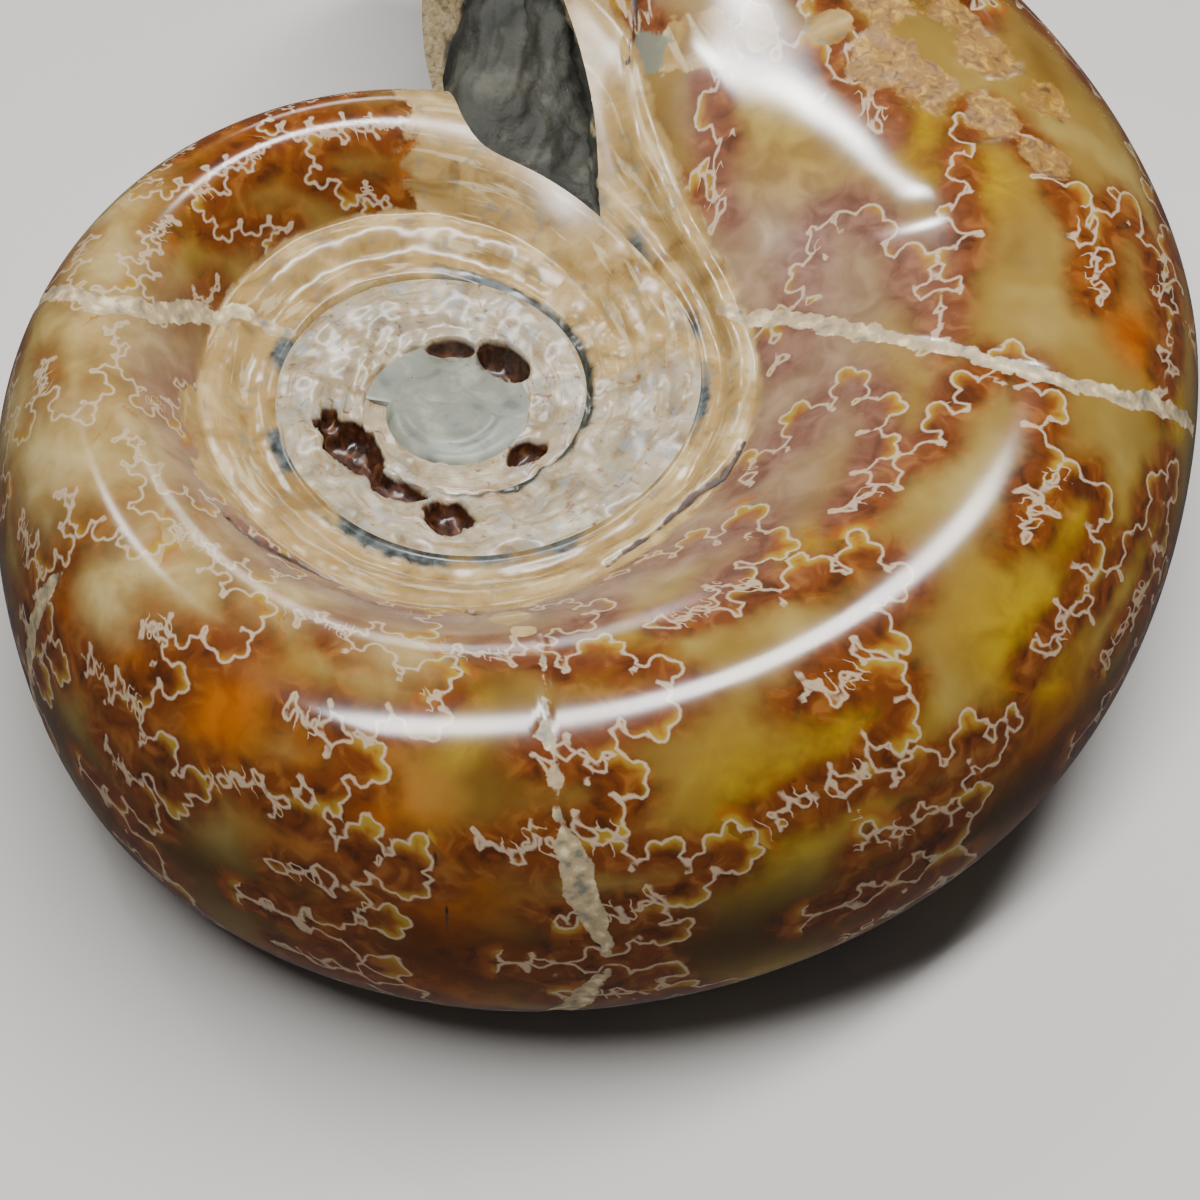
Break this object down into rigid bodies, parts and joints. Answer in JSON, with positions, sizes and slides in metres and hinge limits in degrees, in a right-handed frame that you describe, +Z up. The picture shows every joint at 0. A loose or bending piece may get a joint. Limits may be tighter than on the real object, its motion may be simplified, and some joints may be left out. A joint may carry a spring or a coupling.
{
  "type": "cleoniceras ammonite",
  "caption": "Polished, calcite-filled fossil ammonite shell lying on its flank, with a broken aperture and a matrix plug in its umbilicus.",
  "frame": {"origin": "bottom centre of the bounding box of the shell, lying on its lower flank", "axes": "+Z up, away from the surface the shell lies on, and nearly along the coil's axis; +Y along the largest diameter, towards the side with the broken aperture; +X to the right of the picture's view"},
  "size_m": [0.0726, 0.0924, 0.031],
  "materials": {
    "polished_calcite": "polished"
  },
  "bodies": {
    "root": {"ammonite": "polished_calcite"}
  },
  "joints": []
}
